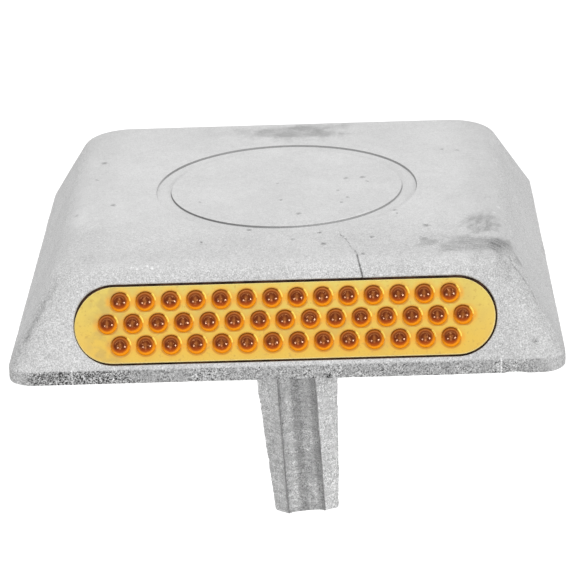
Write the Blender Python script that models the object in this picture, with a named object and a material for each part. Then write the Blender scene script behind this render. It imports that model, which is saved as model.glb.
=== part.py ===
"""Raised pavement marker: a cast aluminium body with an anchor shank and two beaded reflectors.

Metres, +Z up. The origin is the centre of the underside, at the level of the road surface.
The front reflector faces -Y and the rear one faces +Y. The shank hangs below the origin.
"""

import math

import bmesh
import bpy
from mathutils import Vector

MM = 0.001
SHARP_ANGLE = math.radians(35)  # edges sharper than this are not shaded smooth
GAP = 0.3 * MM  # clearance between pieces that touch on the real object

# Cast body
BASE_HALF = 50.0 * MM
BODY_HEIGHT = 19.0 * MM
RIM_HEIGHT = 2.55 * MM
RIM_EDGE = 0.4 * MM  # rounding of the rim's lower and upper edges
SIDE_SLOPE = math.radians(60.5)  # the four sides, from horizontal
BASE_CORNER_RADIUS = 4.3 * MM
TOP_CORNER_RADIUS = 7.0 * MM
TOP_EDGE_RADIUS = 5.0 * MM  # fillet between the sides and the flat top
CORNER_STEPS = 5
FILLET_STEPS = 4

# Circular groove in the top
GROOVE_OUTER_RADIUS = 25.0 * MM
GROOVE_WIDTH = 2.8 * MM
GROOVE_DEPTH = 0.4 * MM
GROOVE_STEPS = 48
GROOVE_CUTTER_ABOVE = 1.0 * MM  # how far the groove's cutter stands above the top

# Four pockets in the underside, which lighten the casting and key into the adhesive
POCKET_CENTRE = (24.0 * MM, 18.0 * MM)
POCKET_HALF = (14.0 * MM, 13.0 * MM)
POCKET_DEPTH = 11.0 * MM
POCKET_DRAFT = 1.0 * MM  # how much each wall leans in over the depth
POCKET_CORNER_RADIUS = 4.0 * MM
POCKET_CORNER_STEPS = 3
POCKET_CUTTER_BELOW = 1.0 * MM

# Anchor shank
SHANK_LENGTH = 48.2 * MM
SHANK_ROOT_WIDTH = 18.3 * MM
SHANK_TIP_WIDTH = 12.8 * MM
SHANK_LEAN = math.radians(2.2)  # towards +X
FLUTE_WIDTH = 7.6 * MM
FLUTE_DEPTH = 1.8 * MM
FLUTE_STEPS = 4
FLUTE_SHARE = 0.62  # a flute is never wider than this share of its face
SHANK_LEVELS = 3  # sections between the root and the rounded tip
SHANK_TIP_ROUND = 2.6 * MM
TIP_STEPS = 3
TIP_FLAT_SHARE = 0.9  # the tip's rounding stops short of the full inset by this factor
SHANK_ROOT_INSIDE = 3.0 * MM  # how far the shank runs up into the body

# Reflectors, measured in the plane of the side they sit in
PANEL_CENTRE_HEIGHT = 9.8 * MM
PANEL_HALF_LENGTH = 37.5 * MM
PANEL_END_RADIUS = 6.9 * MM
PANEL_SINK = 0.2 * MM  # the panel's face lies this far below the side
PANEL_THICKNESS = 1.4 * MM
PANEL_EDGE = 0.3 * MM
END_STEPS = 8
RECESS_CUTTER_ABOVE = 3.0 * MM
HOLE_CUTTER_MARGIN = 1.0 * MM  # how far a hole's cutter passes the panel's face and back

# Beads
BEAD_PITCH = 4.53 * MM
ROW_PITCH = 3.97 * MM
BEAD_ROWS = (("upper", 1, 14), ("middle", 0, 15), ("lower", -1, 14))
BEAD_RADIUS = 1.55 * MM
BEAD_CROWN = 0.45 * MM  # the dome's top above the side's surface
BEAD_SIDES = 10
DOME_SHOULDER = (0.62, 0.72)  # shares of the bead's radius and rise where the dome turns over
DOME_FLAT = 0.15  # radius of the dome's flat top, as a share of the bead's radius
BEAD_TAIL = 0.6 * MM  # how far a bead reaches behind the panel

# Layers behind the panel
BACKING_THICKNESS = 0.4 * MM
BACKING_MARGIN = 0.4 * MM  # the backing is this much smaller than the panel all round
ADHESIVE_THICKNESS = 0.4 * MM
WEB_WIDTH = 1.0 * MM  # strip that joins the rear beads of one row
WEB_THICKNESS = 0.2 * MM
WEB_LIFT = 0.15 * MM  # the web's middle above the beads' backs

# Depths below the side's surface, worked out from the layers above
PANEL_BACK = -PANEL_SINK - PANEL_THICKNESS
BEAD_BACK = PANEL_BACK - BEAD_TAIL
BACKING_FACE = BEAD_BACK - GAP
BACKING_BACK = BACKING_FACE - BACKING_THICKNESS
ADHESIVE_FACE = BACKING_BACK - GAP
ADHESIVE_BACK = ADHESIVE_FACE - ADHESIVE_THICKNESS
RECESS_FLOOR = ADHESIVE_BACK - GAP


def clear_scene():
    for obj in list(bpy.data.objects):
        bpy.data.objects.remove(obj, do_unlink=True)


def make_material(name, colour, roughness, metallic, transmission=0.0):
    material = bpy.data.materials.new(name)
    material.use_nodes = True
    shader = material.node_tree.nodes["Principled BSDF"]
    shader.inputs["Base Color"].default_value = (*colour, 1.0)
    shader.inputs["Roughness"].default_value = roughness
    shader.inputs["Metallic"].default_value = metallic
    shader.inputs["Transmission Weight"].default_value = transmission
    material.diffuse_color = (*colour, 1.0)
    return material


def mesh_from(bm, name):
    """Turn a bmesh into a mesh with outward normals and smooth round faces."""
    bmesh.ops.recalc_face_normals(bm, faces=bm.faces)
    mesh = bpy.data.meshes.new(name)
    bm.to_mesh(mesh)
    bm.free()
    mesh.shade_smooth()
    mesh.set_sharp_from_angle(angle=SHARP_ANGLE)
    return mesh


def add_object(name, mesh, parent=None, location=(0.0, 0.0, 0.0), material=None):
    obj = bpy.data.objects.new(name, mesh)
    bpy.context.scene.collection.objects.link(obj)
    obj.parent = parent
    obj.location = location
    if material and not mesh.materials:
        mesh.materials.append(material)
    return obj


def as_cutter(obj):
    """Mark a solid that only shapes another one."""
    obj.hide_render = True
    obj.display_type = "WIRE"
    return obj


def combine(obj, tool, operation):
    modifier = obj.modifiers.new(f"{operation.lower()}_{tool.name}", "BOOLEAN")
    modifier.object = tool
    modifier.operation = operation
    modifier.solver = "EXACT"


def loft(bm, rings):
    """Join rings of points, each with the same number of points, into one closed solid."""
    rows = [[bm.verts.new(point) for point in ring] for ring in rings]
    count = len(rows[0])
    for lower, upper in zip(rows, rows[1:]):
        for i in range(count):
            j = (i + 1) % count
            bm.faces.new((lower[i], lower[j], upper[j], upper[i]))
    bm.faces.new(rows[0][::-1])
    bm.faces.new(rows[-1])


def rounded_rectangle(half_x, half_y, radius, z, centre=(0.0, 0.0), steps=CORNER_STEPS):
    points = []
    for quarter, (sign_x, sign_y) in enumerate(((1, 1), (-1, 1), (-1, -1), (1, -1))):
        corner_x = centre[0] + sign_x * (half_x - radius)
        corner_y = centre[1] + sign_y * (half_y - radius)
        for step in range(steps + 1):
            angle = (quarter + step / steps) * math.pi / 2
            x = corner_x + radius * math.cos(angle)
            y = corner_y + radius * math.sin(angle)
            points.append(Vector((x, y, z)))
    return points


def stadium(half_length, radius, z):
    """A straight-sided outline with round ends, long along X."""
    points = []
    for side in (1, -1):
        for step in range(END_STEPS + 1):
            angle = math.pi * (step / END_STEPS - 0.5) + (0 if side == 1 else math.pi)
            x = side * (half_length - radius) + radius * math.cos(angle)
            points.append(Vector((x, radius * math.sin(angle), z)))
    return points


def circle(radius, z, sides, centre=(0.0, 0.0)):
    turns = [2 * math.pi * step / sides for step in range(sides)]
    return [
        Vector((centre[0] + radius * math.cos(a), centre[1] + radius * math.sin(a), z))
        for a in turns
    ]


# --- Cast body ---------------------------------------------------------------------------


def body_sections():
    """Height and half width of each level of the body, from the underside to the flat top."""
    sections = [
        (0.0, BASE_HALF - RIM_EDGE),
        (RIM_EDGE, BASE_HALF),
        (RIM_HEIGHT, BASE_HALF),
    ]
    top_half = BASE_HALF - (BODY_HEIGHT - RIM_HEIGHT) / math.tan(SIDE_SLOPE)
    tangent = TOP_EDGE_RADIUS * math.tan(SIDE_SLOPE / 2)
    arc_half = top_half - tangent
    arc_height = BODY_HEIGHT - TOP_EDGE_RADIUS
    for step in range(FILLET_STEPS + 1):
        angle = SIDE_SLOPE * (1 - step / FILLET_STEPS)
        half = arc_half + TOP_EDGE_RADIUS * math.sin(angle)
        sections.append((arc_height + TOP_EDGE_RADIUS * math.cos(angle), half))
    return sections


def body_mesh():
    rings = []
    for height, half in body_sections():
        share = max(0.0, (height - RIM_HEIGHT) / (BODY_HEIGHT - RIM_HEIGHT))
        radius = BASE_CORNER_RADIUS + share * (TOP_CORNER_RADIUS - BASE_CORNER_RADIUS)
        rings.append(rounded_rectangle(half, half, radius, height))
    bm = bmesh.new()
    loft(bm, rings)
    return mesh_from(bm, "body_form")


def shank_outline(width, z, inset=0.0):
    """An octagon with a round-bottomed flute in each of its four straight-on faces."""
    half = width / 2 - inset
    flute_half = min(FLUTE_WIDTH / 2, half * FLUTE_SHARE)
    depth = FLUTE_DEPTH * flute_half / (FLUTE_WIDTH / 2)
    lean = -z * math.tan(SHANK_LEAN)
    points = []
    for quarter in range(4):
        angle = quarter * math.pi / 2
        for step in range(FLUTE_STEPS + 1):
            across = 2 * step / FLUTE_STEPS - 1
            x = half - depth * math.cos(across * math.pi / 2)
            y = flute_half * across
            turned_x = x * math.cos(angle) - y * math.sin(angle)
            turned_y = x * math.sin(angle) + y * math.cos(angle)
            points.append(Vector((turned_x + lean, turned_y, z)))
    return points


def shank_mesh():
    levels = [(SHANK_ROOT_INSIDE, SHANK_ROOT_WIDTH, 0.0), (-GAP, SHANK_ROOT_WIDTH, 0.0)]
    straight = SHANK_LENGTH - SHANK_TIP_ROUND
    narrowing = (SHANK_ROOT_WIDTH - SHANK_TIP_WIDTH) / SHANK_LENGTH
    for step in range(1, SHANK_LEVELS + 1):
        depth = straight * step / SHANK_LEVELS
        levels.append((-depth, SHANK_ROOT_WIDTH - narrowing * depth, 0.0))
    for step in range(1, TIP_STEPS + 1):
        angle = step / TIP_STEPS * math.pi / 2
        depth = straight + SHANK_TIP_ROUND * math.sin(angle)
        inset = SHANK_TIP_ROUND * (1 - math.cos(angle)) * TIP_FLAT_SHARE
        levels.append((-depth, SHANK_ROOT_WIDTH - narrowing * depth, inset))
    bm = bmesh.new()
    loft(bm, [shank_outline(width, z, inset) for z, width, inset in levels])
    return mesh_from(bm, "shank_form")


def groove_mesh():
    """A flat ring that cuts the circular groove into the top."""
    floor = BODY_HEIGHT - GROOVE_DEPTH
    above = BODY_HEIGHT + GROOVE_CUTTER_ABOVE
    outer = GROOVE_OUTER_RADIUS
    inner = outer - GROOVE_WIDTH
    section = ((outer, floor), (outer, above), (inner, above), (inner, floor))
    bm = bmesh.new()
    rows = [[bm.verts.new(p) for p in circle(radius, z, GROOVE_STEPS)] for radius, z in section]
    for row, following in zip(rows, rows[1:] + rows[:1]):
        for i in range(GROOVE_STEPS):
            j = (i + 1) % GROOVE_STEPS
            bm.faces.new((row[i], row[j], following[j], following[i]))
    return mesh_from(bm, "groove_form")


def pocket_mesh():
    """Four tapered boxes, one for each pocket in the underside."""
    bm = bmesh.new()
    for sign_x in (1, -1):
        for sign_y in (1, -1):
            centre = (sign_x * POCKET_CENTRE[0], sign_y * POCKET_CENTRE[1])
            rings = []
            for z, shrink in ((-POCKET_CUTTER_BELOW, 0.0), (0.0, 0.0), (POCKET_DEPTH, POCKET_DRAFT)):
                half_x = POCKET_HALF[0] - shrink
                half_y = POCKET_HALF[1] - shrink
                rings.append(rounded_rectangle(
                    half_x, half_y, POCKET_CORNER_RADIUS, z, centre, POCKET_CORNER_STEPS
                ))
            loft(bm, rings)
    return mesh_from(bm, "pocket_form")


def recess_mesh():
    outer_half = PANEL_HALF_LENGTH + GAP
    outer_radius = PANEL_END_RADIUS + GAP
    bm = bmesh.new()
    loft(bm, [stadium(outer_half, outer_radius, z) for z in (RECESS_FLOOR, RECESS_CUTTER_ABOVE)])
    return mesh_from(bm, "recess_form")


def make_body(reflector_frames, material):
    body = add_object("cast_body", body_mesh(), material=material)
    combine(body, as_cutter(add_object("shank_form", shank_mesh())), "UNION")
    combine(body, as_cutter(add_object("pocket_form", pocket_mesh())), "DIFFERENCE")
    combine(body, as_cutter(add_object("groove_form", groove_mesh())), "DIFFERENCE")
    recess = recess_mesh()
    for side, frame in reflector_frames.items():
        cutter = add_object(f"{side}_recess_form", recess, parent=frame)
        combine(body, as_cutter(cutter), "DIFFERENCE")


# --- Reflectors --------------------------------------------------------------------------


def reflector_frame(side, turn):
    """An empty in the plane of one side: X along the panel, Y up the slope, Z outwards."""
    inward = BASE_HALF - (PANEL_CENTRE_HEIGHT - RIM_HEIGHT) / math.tan(SIDE_SLOPE)
    frame = bpy.data.objects.new(f"{side}_reflector_frame", None)
    bpy.context.scene.collection.objects.link(frame)
    frame.rotation_euler = (SIDE_SLOPE, 0.0, turn)
    frame.location = (0.0, -inward * math.cos(turn), PANEL_CENTRE_HEIGHT)
    return frame


def bead_positions():
    """Row name, number in the row, and place on the panel of every bead."""
    for row, level, count in BEAD_ROWS:
        for number in range(count):
            x = (number - (count - 1) / 2) * BEAD_PITCH
            yield row, number + 1, (x, level * ROW_PITCH)


def panel_mesh():
    face = -PANEL_SINK
    bm = bmesh.new()
    loft(bm, [
        stadium(PANEL_HALF_LENGTH, PANEL_END_RADIUS, PANEL_BACK),
        stadium(PANEL_HALF_LENGTH, PANEL_END_RADIUS, face - PANEL_EDGE),
        stadium(PANEL_HALF_LENGTH - PANEL_EDGE, PANEL_END_RADIUS - PANEL_EDGE, face),
    ])
    return mesh_from(bm, "reflector_panel")


def hole_mesh():
    """The cylinders that cut the panel's bead holes."""
    bm = bmesh.new()
    radius = BEAD_RADIUS + GAP
    ends = (PANEL_BACK - HOLE_CUTTER_MARGIN, HOLE_CUTTER_MARGIN)
    for _row, _number, centre in bead_positions():
        loft(bm, [circle(radius, z, BEAD_SIDES, centre) for z in ends])
    return mesh_from(bm, "bead_holes")


def add_bead(bm, centre=(0.0, 0.0)):
    """One bead: a low dome on a straight stem."""
    shoulder = -PANEL_SINK
    rise = BEAD_CROWN - shoulder
    levels = [(BEAD_RADIUS, BEAD_BACK), (BEAD_RADIUS, shoulder)]
    levels.append((BEAD_RADIUS * DOME_SHOULDER[0], shoulder + rise * DOME_SHOULDER[1]))
    levels.append((BEAD_RADIUS * DOME_FLAT, BEAD_CROWN))
    loft(bm, [circle(radius, z, BEAD_SIDES, centre) for radius, z in levels])


def bead_mesh():
    bm = bmesh.new()
    add_bead(bm)
    return mesh_from(bm, "glass_bead")


def bead_row_mesh(row):
    bm = bmesh.new()
    for bead_row, _number, centre in bead_positions():
        if bead_row == row:
            add_bead(bm, centre)
    return mesh_from(bm, f"bead_row_{row}")


def web_mesh(level, count):
    """The thin strip behind the panel that joins one row of rear beads."""
    half_length = (count - 1) / 2 * BEAD_PITCH
    middle = BEAD_BACK + WEB_LIFT
    bm = bmesh.new()
    rings = []
    for z in (middle - WEB_THICKNESS / 2, middle + WEB_THICKNESS / 2):
        corners = ((1, 1), (-1, 1), (-1, -1), (1, -1))
        rings.append([
            Vector((sx * half_length, level * ROW_PITCH + sy * WEB_WIDTH / 2, z))
            for sx, sy in corners
        ])
    loft(bm, rings)
    return mesh_from(bm, "bead_web")


def layer_mesh(name, back, face, margin):
    """A thin stadium-shaped layer behind the panel, smaller than the panel by margin."""
    bm = bmesh.new()
    half = PANEL_HALF_LENGTH - margin
    loft(bm, [stadium(half, PANEL_END_RADIUS - margin, z) for z in (back, face)])
    return mesh_from(bm, name)


def make_reflector(side, frame, materials):
    """The panel with its bead holes, the mirror backing and the adhesive bed of one side."""
    panel = add_object(f"{side}_reflector_panel", panel_mesh(), frame, material=materials["panel"])
    holes = as_cutter(add_object(f"{side}_bead_holes", hole_mesh(), frame))
    combine(panel, holes, "DIFFERENCE")
    backing = layer_mesh("mirror_backing", BACKING_BACK, BACKING_FACE, BACKING_MARGIN)
    add_object(f"{side}_mirror_backing", backing, frame, material=materials["mirror"])
    adhesive = layer_mesh("adhesive_bed", ADHESIVE_BACK, ADHESIVE_FACE, 0.0)
    add_object(f"{side}_adhesive_bed", adhesive, frame, material=materials["adhesive"])


def make_front_beads(frame, material):
    mesh = bead_mesh()
    for row, number, (x, y) in bead_positions():
        add_object(f"front_bead_{row}_{number:02d}", mesh, frame, (x, y, 0.0), material)


def make_rear_beads(frame, material):
    """The rear beads, each row joined into one piece by its web."""
    for row, level, count in BEAD_ROWS:
        beads = add_object(f"rear_bead_row_{row}", bead_row_mesh(row), frame, material=material)
        web = as_cutter(add_object(f"rear_bead_web_{row}", web_mesh(level, count), frame))
        combine(beads, web, "UNION")


def main():
    clear_scene()
    materials = {
        "aluminium": make_material("cast_aluminium", (0.60, 0.60, 0.60), 0.55, 0.6),
        "panel": make_material("reflector_panel", (0.79, 0.61, 0.11), 0.35, 0.0),
        "bead": make_material("bead_glass", (0.55, 0.16, 0.01), 0.05, 0.0, 0.6),
        "mirror": make_material("mirror_backing", (0.85, 0.85, 0.85), 0.1, 1.0),
        "adhesive": make_material("adhesive", (0.05, 0.025, 0.015), 0.6, 0.0),
    }
    frames = {"front": reflector_frame("front", 0.0), "rear": reflector_frame("rear", math.pi)}
    make_body(frames, materials["aluminium"])
    for side, frame in frames.items():
        make_reflector(side, frame, materials)
    make_front_beads(frames["front"], materials["bead"])
    make_rear_beads(frames["rear"], materials["bead"])


main()
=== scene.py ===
"""Raised pavement marker: the looks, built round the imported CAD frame.

The casting, panels, glue and beads are modelled finely over their CAD solids. Lengths are in
metres, and the shaders work in millimetres of the same frame. -Y is the front.
"""

import math

import bmesh
import bpy
import numpy as np
from mathutils import Matrix, Vector, noise


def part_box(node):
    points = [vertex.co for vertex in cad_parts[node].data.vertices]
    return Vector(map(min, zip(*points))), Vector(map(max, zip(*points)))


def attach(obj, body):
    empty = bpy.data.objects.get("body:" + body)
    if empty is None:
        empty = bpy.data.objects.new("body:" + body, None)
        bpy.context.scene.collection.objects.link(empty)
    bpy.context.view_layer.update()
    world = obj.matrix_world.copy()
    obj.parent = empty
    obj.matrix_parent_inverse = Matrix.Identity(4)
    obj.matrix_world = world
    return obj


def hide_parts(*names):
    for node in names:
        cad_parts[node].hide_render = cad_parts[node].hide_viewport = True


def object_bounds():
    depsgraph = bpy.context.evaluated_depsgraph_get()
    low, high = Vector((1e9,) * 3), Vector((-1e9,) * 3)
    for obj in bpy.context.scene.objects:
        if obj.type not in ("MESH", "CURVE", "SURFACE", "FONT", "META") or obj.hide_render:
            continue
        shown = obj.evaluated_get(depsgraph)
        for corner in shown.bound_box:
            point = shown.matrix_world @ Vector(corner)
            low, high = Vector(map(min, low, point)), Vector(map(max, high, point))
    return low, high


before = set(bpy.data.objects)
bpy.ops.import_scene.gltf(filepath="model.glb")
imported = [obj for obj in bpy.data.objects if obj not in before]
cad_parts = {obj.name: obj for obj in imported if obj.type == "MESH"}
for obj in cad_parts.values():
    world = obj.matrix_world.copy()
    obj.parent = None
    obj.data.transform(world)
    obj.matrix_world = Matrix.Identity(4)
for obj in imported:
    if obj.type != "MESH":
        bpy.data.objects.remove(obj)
cad_low, cad_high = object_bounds()

MM = 0.001

# Body, from the frame
BODY = "root"
BASE_HALF = (cad_high.x - cad_low.x) / 2
BODY_HEIGHT = cad_high.z
SHANK_TIP = cad_low.z
SIDE_SLOPE = math.radians(60.5)
RIM_HEIGHT = 2.55 * MM
BASE_CORNER_RADIUS = 4.3 * MM
TOP_CORNER_RADIUS = 7.0 * MM
TOP_EDGE_RADIUS = 5.0 * MM
SURFACE_ROOM = 0.08 * MM  # the body is made this much smaller than the CAD, to leave room for grain
UNDERSIDE_HEIGHT = 0.02 * MM
UNDERSIDE_HALF = 39.5 * MM  # inside this the underside is one flat face
RIM_EDGE_RADIUS = 0.3 * MM

# Mesh density of the casting
SIDE_STEPS = 150
CORNER_STEPS = 22
RING_POINTS = 4 * (SIDE_STEPS + CORNER_STEPS)
UNDERSIDE_RINGS = 9
RIM_RINGS = 6
SLOPE_RINGS = 40
TOP_EDGE_RINGS = 10
TOP_RINGS = 28

# Circular groove
GROOVE_OUTER = 25.03 * MM
GROOVE_INNER = 22.2 * MM
GROOVE_DEPTH = 0.38 * MM
GROOVE_EDGE = 0.05 * MM

# Underside pockets
POCKET_CENTRE = (24.0 * MM, 18.0 * MM)
POCKET_HALF = (14.0 * MM, 13.0 * MM)
POCKET_DEPTH = 11.0 * MM
POCKET_CORNER = 4.0 * MM
POCKET_CORNER_STEPS = 10
POCKET_MOUTH = 0.4 * MM  # how much wider a pocket is at the underside
POCKET_SECTION = (  # height, and how much narrower the pocket is there
    (0.0, -POCKET_MOUTH), (0.25 * MM, -0.1 * MM), (0.6 * MM, 0.0), (POCKET_DEPTH - 1.2 * MM, 0.8 * MM),
    (POCKET_DEPTH - 0.4 * MM, 1.1 * MM), (POCKET_DEPTH, 2.0 * MM),
)

# Shank
SHANK_ROOT_WIDTH = 18.3 * MM
SHANK_TIP_WIDTH = 12.8 * MM
SHANK_LEAN = math.radians(2.2)
SHANK_TOP = 2.0 * MM  # the shank starts this high inside the body
SHANK_FLARE = 0.16  # how much wider it gets there
SHANK_RINGS = 104
SHANK_TIP_RINGS = 9
FLUTE_WIDTH = 7.6 * MM
FLUTE_DEPTH = 1.8 * MM
FACET_STEPS = 10
FLUTE_STEPS = 22
SHANK_TIP_ROUND = 1.3 * MM
SHANK_TIP_TILT = 0.07  # the tip is this much longer on its left, for each unit across
SHANK_TIP_SAG = 0.25 * MM  # and behind its front flute
SHANK_TIP_FALL = 0.2  # and right of its front flute, for each unit across

# Reflectors, in the plane of the side they sit in
PANEL_CENTRE_HEIGHT = 9.8 * MM
PANEL_HALF_LENGTH = 37.5 * MM
PANEL_END_RADIUS = 6.9 * MM
PANEL_SINK = 0.2 * MM
PANEL_THICKNESS = 1.4 * MM
PANEL_DROP = 0.02 * MM  # the panel sits this much below the middle of its recess
PANEL_BEVEL = 0.25 * MM
PANEL_GAP = 0.3 * MM
RECESS_FLOOR = -3.9 * MM
GLUE_FLOOR = -3.3 * MM
GLUE_GAP = 0.03 * MM  # on both sides of the glue's wall
GLUE_CREST = -0.42  # mean height of the glue's wall and how uneven it is, in mm
GLUE_UNEVEN = 0.16
RECESS_CORNER_ROOM = 0.12 * MM  # extra room in the recess's two upper corners
RECESS_EDGE_ROOM = 0.12 * MM  # extra room all along its upper and lower edges
PANEL_LEFT_ROOM = 0.21 * MM  # the panel's lower left end reaches this much further
END_STEPS = 28

# Beads
BEAD_RAISE = 0.19 * MM  # up the slope, from the middle of a bead's CAD box
BEAD_STEPS = 40
DOME_RINGS = 12
# Outlines of a bead's collar and of its hole: radius and height in millimetres
BEAD_SIDE = ((1.5, -2.1), (1.76, -1.9), (1.78, -0.32), (1.77, -0.25), (1.73, -0.21), (1.64, -0.19))
HOLE_SIDE = ((1.79, -3.0), (1.79, -0.24), (1.82, -0.2), (1.82, 1.0))
DOME_RADIUS = 1.6 * MM
DOME_RISE = 0.68 * MM
CORE_SHIFT = -0.05  # the dark core's place along x, from the bead's middle, in mm
BEAD_BOX_TO_SURFACE = 1.17 * MM  # from the middle of a bead's CAD box out to the side's surface

# Edges steeper than these stay sharp
SHARP_ANGLE = math.radians(50)
PANEL_SHARP_ANGLE = math.radians(35)


# --- Meshes ---


def ring_faces(first, second):
    """Quads between two rings of vertex numbers of the same length."""
    return list(zip(first, first[1:] + first[:1], second[1:] + second[:1], second))


def halving_faces(wide, narrow):
    """Faces between a ring and one of half as many points."""
    faces = []
    count = len(narrow)
    for i in range(count):
        after = (i + 1) % count
        a, b, c = wide[2 * i], wide[2 * i + 1], wide[(2 * i + 2) % len(wide)]
        faces.append((a, b, narrow[i]))
        faces.append((b, c, narrow[after], narrow[i]))
    return faces


def lofted_mesh(name, rings):
    """A closed mesh through rings of points. A ring may have half as many points as the one before."""
    points = np.concatenate(rings)
    ends = np.cumsum([len(ring) for ring in rings])
    numbers = [list(range(end - len(ring), end)) for ring, end in zip(rings, ends)]
    faces = []
    for first, second in zip(numbers, numbers[1:]):
        join = ring_faces if len(first) == len(second) else halving_faces
        faces += join(first, second)
    faces.append(tuple(numbers[0][::-1]))
    faces.append(tuple(numbers[-1]))
    mesh = bpy.data.meshes.new(name)
    mesh.from_pydata(points.tolist(), [], faces)
    mesh.update()
    return mesh


def link(obj):
    bpy.context.scene.collection.objects.link(obj)


def add_piece(name, mesh, material=None):
    obj = bpy.data.objects.new(name, mesh)
    link(obj)
    mesh.shade_smooth()
    mesh.set_sharp_from_angle(angle=SHARP_ANGLE)
    if material and not mesh.materials:
        mesh.materials.append(material)
    return obj


def carve(obj, tools, operation="DIFFERENCE"):
    """Cut obj's mesh by closed tool meshes, or join them to it, and keep the result as its mesh."""
    helpers = []
    for mesh in tools:
        helper = bpy.data.objects.new(f"{obj.name}_tool", mesh)
        link(helper)
        helpers.append(helper)
        modifier = obj.modifiers.new("carve", "BOOLEAN")
        modifier.object = helper
        modifier.operation = operation
        modifier.solver = "MANIFOLD"
    depsgraph = bpy.context.evaluated_depsgraph_get()
    shaped = bpy.data.meshes.new_from_object(obj.evaluated_get(depsgraph))
    obj.modifiers.clear()
    obj.data = shaped
    for helper in helpers:
        bpy.data.objects.remove(helper, do_unlink=True)
    return obj


def finish_carved(obj, material, sharp_angle):
    """Smooth shading and one material, which a cut mesh loses."""
    obj.data.shade_smooth()
    obj.data.set_sharp_from_angle(angle=sharp_angle)
    obj.data.materials.clear()
    obj.data.materials.append(material)


def move_along_normals(mesh, offset):
    """Shift every vertex along its normal by offset(point, normal)."""
    count = len(mesh.vertices)
    points = np.zeros(count * 3)
    normals = np.zeros(count * 3)
    mesh.vertices.foreach_get("co", points)
    mesh.vertex_normals.foreach_get("vector", normals)
    points = points.reshape(-1, 3)
    normals = normals.reshape(-1, 3)
    shifts = np.array([offset(p, n) for p, n in zip(points, normals)])
    points += normals * shifts[:, None]
    mesh.vertices.foreach_set("co", points.ravel())
    mesh.update()


def at_height(flat, height):
    """Points of a plan, all at one height."""
    return np.column_stack([flat, np.full(len(flat), height)])


def four_turns(quarter):
    """A quarter of an outline in plan, followed by its copies turned by 90, 180 and 270 degrees."""
    x, y = quarter[:, 0], quarter[:, 1]
    return np.concatenate([np.stack(turned, 1) for turned in ((x, y), (-y, x), (-x, -y), (y, -x))])


def square_ring(half, radius, height):
    """A rounded square at one height, with its corners and sides evenly stepped."""
    turn = np.linspace(0, math.pi / 2, CORNER_STEPS + 1)
    inner = half - radius
    arc = np.stack([inner + radius * np.cos(turn), inner + radius * np.sin(turn)], 1)
    along = np.linspace(inner, -inner, SIDE_STEPS + 1)[1:-1]
    side = np.stack([along, np.full(len(along), half)], 1)
    return at_height(four_turns(np.concatenate([arc, side])), height)


def circle_ring(radius, height, count=None):
    """A circle whose points line up with those of square_ring."""
    count = count or RING_POINTS
    step = 2 * math.pi / RING_POINTS
    angles = math.pi / 4 - CORNER_STEPS / 2 * step + np.arange(count) * 2 * math.pi / count
    return at_height(np.stack([radius * np.cos(angles), radius * np.sin(angles)], 1), height)


# --- Casting ---


def body_rings():
    """Rings from the middle of the underside, over the rim, sides and top, to the top's centre."""
    base = BASE_HALF - SURFACE_ROOM
    top = BODY_HEIGHT - SURFACE_ROOM / 3
    foot, edge = UNDERSIDE_HEIGHT, RIM_EDGE_RADIUS
    rings = []
    for half in np.linspace(UNDERSIDE_HALF, base - edge, UNDERSIDE_RINGS):
        rings.append(square_ring(half, BASE_CORNER_RADIUS, foot))
    for angle in np.radians((22.5, 45.0, 67.5)):
        half = base - edge * (1 - math.sin(angle))
        rings.append(square_ring(half, BASE_CORNER_RADIUS, foot + edge * (1 - math.cos(angle))))
    for height in np.linspace(foot + edge, RIM_HEIGHT - 0.25 * MM, RIM_RINGS):
        rings.append(square_ring(base, BASE_CORNER_RADIUS, height))
    flat_half = base - (top - RIM_HEIGHT) / math.tan(SIDE_SLOPE)
    tangent = TOP_EDGE_RADIUS * math.tan(SIDE_SLOPE / 2)
    slope_end = top - tangent * math.sin(SIDE_SLOPE)
    arc_half = flat_half - tangent
    for height in np.linspace(RIM_HEIGHT + 0.1 * MM, slope_end, SLOPE_RINGS):
        half = base - (height - RIM_HEIGHT) / math.tan(SIDE_SLOPE)
        rings.append(square_ring(half, corner_radius(height), height))
    for angle in np.linspace(SIDE_SLOPE, 0, TOP_EDGE_RINGS)[1:]:
        height = top - TOP_EDGE_RADIUS * (1 - math.cos(angle))
        half = arc_half + TOP_EDGE_RADIUS * math.sin(angle)
        rings.append(square_ring(half, corner_radius(height), height))
    outer, inner = rings[-1], circle_ring(GROOVE_OUTER + 0.2 * MM, top)
    for share in np.linspace(0, 1, TOP_RINGS)[1:]:
        rings.append(outer * (1 - share) + inner * share)
    rings += groove_rings(top)
    count = RING_POINTS
    radius = GROOVE_INNER - 0.5 * MM
    for limit in (18.0, 9.0, 4.0, 0.8):
        while radius > limit * MM:
            rings.append(circle_ring(radius, top, count))
            radius -= 0.5 * MM
        count = count // 2
    return rings


def corner_radius(height):
    share = min(1.0, max(0.0, (height - RIM_HEIGHT) / (BODY_HEIGHT - RIM_HEIGHT)))
    return BASE_CORNER_RADIUS + share * (TOP_CORNER_RADIUS - BASE_CORNER_RADIUS)


def groove_rings(top):
    """The groove's outer wall, floor and inner wall, with softened edges."""
    floor = top - GROOVE_DEPTH
    e = GROOVE_EDGE
    section = [(GROOVE_OUTER + e, top), (GROOVE_OUTER, top - e), (GROOVE_OUTER - e, floor + e)]
    for radius in np.linspace(GROOVE_OUTER - 2 * e, GROOVE_INNER + 2 * e, 6):
        section.append((radius, floor))
    section += [(GROOVE_INNER + e, floor + e), (GROOVE_INNER, top - e), (GROOVE_INNER - e, top)]
    return [circle_ring(radius, height) for radius, height in section]


def smooth_step(low, high, value):
    """0 up to low, 1 from high on, and a smooth curve between them."""
    share = min(1.0, max(0.0, (value - low) / (high - low)))
    return share * share * (3 - 2 * share)


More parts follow.
